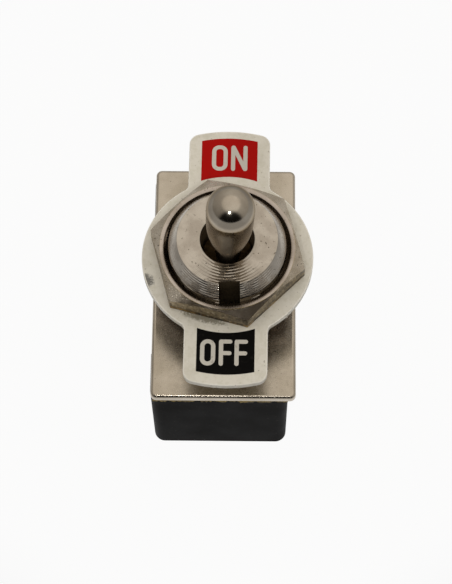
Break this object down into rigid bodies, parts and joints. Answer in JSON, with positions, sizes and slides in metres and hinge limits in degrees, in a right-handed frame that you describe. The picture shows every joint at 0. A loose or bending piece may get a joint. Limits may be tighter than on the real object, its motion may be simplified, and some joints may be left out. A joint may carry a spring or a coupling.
{
  "type": "toggle switch",
  "caption": "Small on-off toggle switch with a bat-handle lever, a threaded panel bushing with nuts and legend plate, a steel frame around a moulded base, and solder lugs.",
  "frame": {"origin": "on the bushing's axis, at the top face of the steel frame's cover plate", "axes": "+Z along the bushing's axis and out of the panel, +Y towards the ON end of the legend plate, +X to the right of someone facing the panel with ON above"},
  "size_m": [0.0174, 0.0283, 0.0519],
  "materials": {
    "nickel_frame": "satin nickel plate",
    "nickel_bushing": "turned and nickel plated",
    "nickel_lever": "polished nickel plate",
    "legend_enamel": "off-white enamel with printed fields",
    "tan_fibre": "pressed fibre sheet",
    "black_moulding": "thermoset moulding",
    "tinned_brass": "formed strip",
    "spring_steel": "bright spring wire",
    "copper_strip": "rolled copper",
    "contact_silver": "turned silver",
    "amber_moulding": "laminated insulating plastic"
  },
  "bodies": {
    "switch_body": {"steel_frame": "nickel_frame", "threaded_bushing": "nickel_bushing", "lever_pin": "spring_steel", "lower_nut": "nickel_bushing", "lock_washer": "spring_steel", "legend_plate": "legend_enamel", "top_nut": "nickel_bushing", "insulator_sheet": "tan_fibre", "base_housing": "black_moulding", "common_terminal": "tinned_brass", "common_rivet": "tinned_brass", "load_terminal": "tinned_brass", "load_rivet": "tinned_brass", "fixed_contact": "contact_silver"},
    "lever": {"toggle_lever": "nickel_lever", "plunger_spring": "spring_steel"},
    "spring_plunger": {"plunger": "amber_moulding"},
    "rocker": {"rocker_blade": "copper_strip", "rocker_saddle": "amber_moulding", "moving_contact": "contact_silver"}
  },
  "joints": [
    {"name": "lever_tilt", "type": "hinge", "parent": "switch_body", "child": "lever", "pos_m": [0, 0, 0.0063], "axis": [-0.9998, 0, 0.0209], "range_deg": [0, 26]},
    {"name": "plunger_slide", "type": "slide", "parent": "lever", "child": "spring_plunger", "axis": [0.0204, -0.225, 0.9742], "range_m": [0, 0.0005], "stiffness_N_per_m": 200, "springref_m": -0.002, "deforming": ["plunger_spring"]},
    {"name": "rocker_tilt", "type": "hinge", "parent": "switch_body", "child": "rocker", "pos_m": [-0.00077, 0, -0.0076], "axis": [1, 0, 0], "range_deg": [0, 12]}
  ],
  "couplings": [
    {"joint": "rocker_tilt", "follows": "lever_tilt", "ratio": 0.46154}
  ]
}
